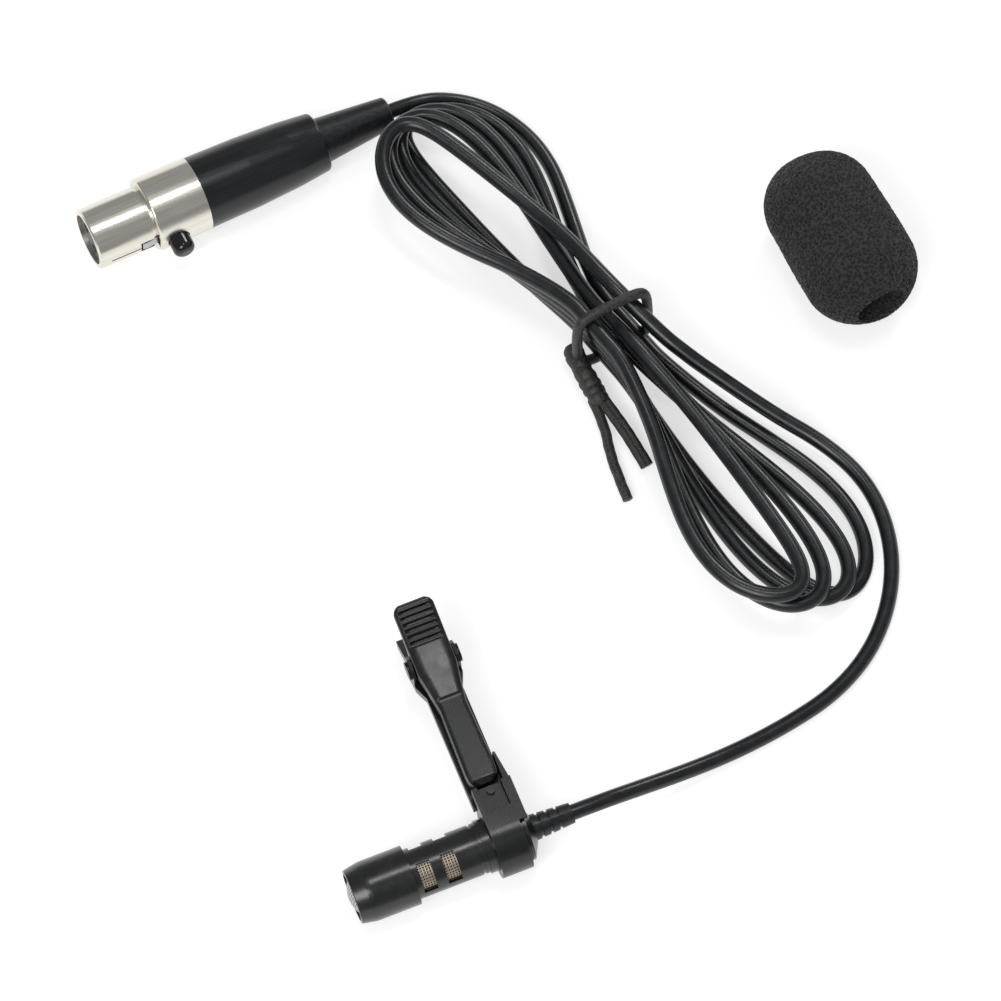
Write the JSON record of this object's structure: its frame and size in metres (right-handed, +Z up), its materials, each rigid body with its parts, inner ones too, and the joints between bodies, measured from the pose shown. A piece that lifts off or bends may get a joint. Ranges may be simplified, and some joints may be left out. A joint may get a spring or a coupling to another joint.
{
  "type": "lavalier microphone",
  "caption": "Small clip-on microphone: slotted black head in the ring of a sprung clip, thin cord tied in a hank, miniature locking plug, foam windscreen lying beside.",
  "frame": {"origin": "floor point under the centre of the head, clip and windscreen, cord and plug left out", "axes": "+X along the head from its front to its cord, +Y along the clip from the head, +Z up"},
  "size_m": [0.1082, 0.1181, 0.0168],
  "materials": {
    "black_metal": "satin black lacquer on metal",
    "steel_mesh": "fine woven steel mesh",
    "brass_mesh": "fine brass mesh",
    "capsule_aluminium": "plain aluminium can",
    "diaphragm_film": "metallised film on its ring",
    "circuit_board": "green circuit board",
    "black_rubber": "black moulded rubber",
    "spring_steel": "bright spring steel",
    "wire_insulation": "coloured insulation",
    "black_plastic": "satin black moulding",
    "plug_nickel": "satin nickel plate",
    "insert_plastic": "dark moulding",
    "contact_brass": "gold plated brass",
    "button_plastic": "glossy black button",
    "sleeve_plastic": "semi-gloss black sleeve",
    "boot_rubber": "semi-gloss black rubber",
    "cord_jacket": "semi-gloss black jacket",
    "black_foam": "open-cell foam",
    "tie_plastic": "plastic coating on a wire"
  },
  "bodies": {
    "microphone": {"nose_cap": "black_metal", "front_grille": "steel_mesh", "mic_body": "black_metal", "side_mesh": "brass_mesh", "capsule_can": "capsule_aluminium", "capsule_diaphragm": "diaphragm_film", "capsule_backplate": "contact_brass", "capsule_board": "circuit_board", "capsule_gasket": "black_rubber", "tail_bush": "black_metal", "mic_cable_crimp": "spring_steel", "mic_cable_end": "cord_jacket", "capsule_leads": "wire_insulation", "mic_strain_relief": "black_rubber", "plug_shell": "plug_nickel", "contact_insert": "insert_plastic", "socket_contacts": "contact_brass", "plug_sleeve": "sleeve_plastic", "plug_boot": "boot_rubber", "cable_clamp": "spring_steel", "conductor_wires": "wire_insulation", "plug_cable_end": "cord_jacket", "windscreen": "black_foam", "cord_hank": "cord_jacket", "cord_mic_tail": "cord_jacket", "cord_plug_tail": "cord_jacket", "wire_tie": "tie_plastic"},
    "clip": {"ring_holder": "black_plastic", "ring_rivet": "black_metal", "clip_base": "black_plastic", "pivot_pin": "spring_steel", "torsion_spring": "spring_steel"},
    "lever": {"clip_lever": "black_plastic"},
    "button": {"latch_button": "button_plastic"},
    "latch": {"latch_strip": "spring_steel"}
  },
  "joints": [
    {"name": "clip_swivel", "type": "hinge", "parent": "microphone", "child": "clip", "pos_m": [-0.03151, -0.0371, 0.00504], "axis": [0.9991, 0, 0.0423], "continuous": true},
    {"name": "lever_open", "type": "hinge", "parent": "clip", "child": "lever", "pos_m": [-0.03166, -0.0109, 0.00864], "axis": [-0.9991, 0, -0.0423], "range_deg": [0, 30], "stiffness_Nm_per_rad": 0.02, "springref_deg": -17.19},
    {"name": "button_press", "type": "slide", "parent": "microphone", "child": "button", "axis": [-0.0896, 0.9954, 0.0349], "range_m": [0, 0.0004], "stiffness_N_per_m": 400},
    {"name": "latch_bend", "type": "hinge", "parent": "microphone", "child": "latch", "pos_m": [-0.03829, 0.06556, 0.00538], "axis": [-0.0316, 0.0322, -0.999], "range_deg": [0, 8.6]}
  ],
  "couplings": [
    {"joint": "latch_bend", "follows": "button_press", "rad_per_m": 370.37}
  ]
}
